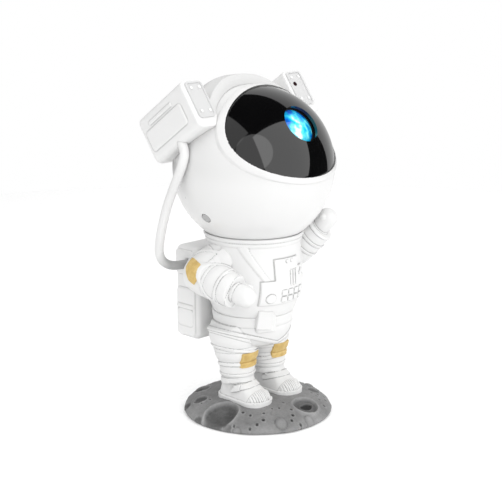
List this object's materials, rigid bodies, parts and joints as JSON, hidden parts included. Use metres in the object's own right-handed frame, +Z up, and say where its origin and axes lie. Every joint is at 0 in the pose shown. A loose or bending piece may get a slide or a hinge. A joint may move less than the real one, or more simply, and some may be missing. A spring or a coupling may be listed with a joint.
{
  "type": "planetarium projector",
  "caption": "Desk night-light projector shaped as a standing spaceman, with a magnetic tilting helmet, a lens in the visor and geared ripple and star discs.",
  "frame": {"origin": "centre of the round base at the level of its pads' undersides", "axes": "+Z up, the figure faces -Y, so its right side is -X"},
  "size_m": [0.1186, 0.1077, 0.2259],
  "materials": {
    "moon_rock": "grey moulded moon ground",
    "cover_plastic": "plain dark moulding",
    "steel": "plain steel",
    "pad_rubber": "soft non-slip rubber",
    "suit_white": "satin white moulded suit",
    "suit_trim": "satin white raised trim",
    "panel_white": "satin white raised panel",
    "gold_patch": "painted gold patch",
    "hose_white": "white soft hose",
    "helmet_white": "satin white helmet shell",
    "pack_white": "satin white ear pack",
    "face_grey": "pale grey plate",
    "visor_black": "glossy black visor",
    "lens_glass": "blue coated lens",
    "barrel_black": "matte black barrel",
    "module_grey": "dark grey inner moulding",
    "ripple_clear": "clear rippled disc",
    "gear_white": "pale moulded gear",
    "magnet_metal": "plated magnet",
    "board_green": "green circuit board",
    "sink_aluminium": "extruded aluminium",
    "laser_brass": "turned brass",
    "button_grey": "grey soft key",
    "infrared_black": "dark infrared window",
    "swivel_black": "dark plain plastic"
  },
  "bodies": {
    "stand": {"moon_base": "moon_rock", "base_cover": "cover_plastic", "ballast_plate": "steel", "base_pads": "pad_rubber", "base_screws": "steel", "torso": "suit_white", "collar_ring": "suit_trim", "neck_dish": "swivel_black", "belt": "suit_trim", "belt_buckle": "suit_trim", "hips": "suit_white", "right_leg": "suit_white", "left_leg": "suit_white", "right_boot": "suit_trim", "left_boot": "suit_trim", "knee_patches": "gold_patch", "right_arm": "suit_white", "left_arm": "suit_white", "elbow_patches": "gold_patch", "chest_panel": "panel_white", "chest_keys": "panel_white", "harness_straps": "suit_trim", "backpack": "suit_white", "backpack_cover": "suit_trim", "right_hose": "hose_white", "left_hose": "hose_white"},
    "neck": {"neck_swivel": "swivel_black", "neck_magnet": "magnet_metal"},
    "head": {"head_front": "helmet_white", "head_rear": "helmet_white", "head_screws": "steel", "visor_rim": "helmet_white", "visor": "visor_black", "steel_plate": "steel", "headband": "pack_white", "right_ear_pack": "pack_white", "left_ear_pack": "pack_white", "right_face_plate": "face_grey", "left_face_plate": "face_grey", "remote_window": "infrared_black", "pack_rivets": "steel", "light_frame": "module_grey", "frame_screws": "steel", "gear_pins": "steel", "lens_barrel": "barrel_black", "projector_lens": "lens_glass", "motor": "steel", "led_board": "board_green", "heat_sink": "sink_aluminium", "laser_module": "laser_brass", "button_board": "board_green", "usb_socket": "steel"},
    "ripple_disc": {"ripple_disc": "ripple_clear"},
    "star_wheel": {"star_wheel": "gear_white"},
    "pinion": {"pinion": "gear_white"},
    "mode_button": {"mode_button": "button_grey"},
    "power_button": {"power_button": "button_grey"},
    "speed_button": {"speed_button": "button_grey"}
  },
  "joints": [
    {"name": "head_turn", "type": "hinge", "parent": "stand", "child": "neck", "pos_m": [0, 0.0038, 0.108], "axis": [0, 0, 1], "range_deg": [-35, 35], "deforming": ["right_hose", "left_hose"]},
    {"name": "head_tilt", "type": "hinge", "parent": "neck", "child": "head", "pos_m": [0, 0.0038, 0.1675], "axis": [1, 0, 0], "range_deg": [-15, 30], "deforming": ["right_hose", "left_hose"]},
    {"name": "ripple_spin", "type": "hinge", "parent": "head", "child": "ripple_disc", "pos_m": [0, -0.01621, 0.16857], "axis": [0, -0.8192, 0.5736], "continuous": true},
    {"name": "pinion_spin", "type": "hinge", "parent": "head", "child": "pinion", "pos_m": [0.02608, -0.01056, 0.17314], "axis": [0, -0.8192, 0.5736], "continuous": true},
    {"name": "star_spin", "type": "hinge", "parent": "head", "child": "star_wheel", "pos_m": [0.01594, -0.00289, 0.17956], "axis": [0, -0.8192, 0.5736], "continuous": true},
    {"name": "mode_button_press", "type": "slide", "parent": "head", "child": "mode_button", "axis": [0, -0.9744, 0.225], "range_m": [0, 0.0008], "stiffness_N_per_m": 600, "springref_m": -0.0008},
    {"name": "power_button_press", "type": "slide", "parent": "head", "child": "power_button", "axis": [0, -0.9744, 0.225], "range_m": [0, 0.0008], "stiffness_N_per_m": 600, "springref_m": -0.0008},
    {"name": "speed_button_press", "type": "slide", "parent": "head", "child": "speed_button", "axis": [0, -0.9744, 0.225], "range_m": [0, 0.0008], "stiffness_N_per_m": 600, "springref_m": -0.0008}
  ],
  "couplings": [
    {"joint": "pinion_spin", "follows": "ripple_spin", "ratio": -4.4},
    {"joint": "star_spin", "follows": "ripple_spin", "ratio": 2.4444}
  ]
}
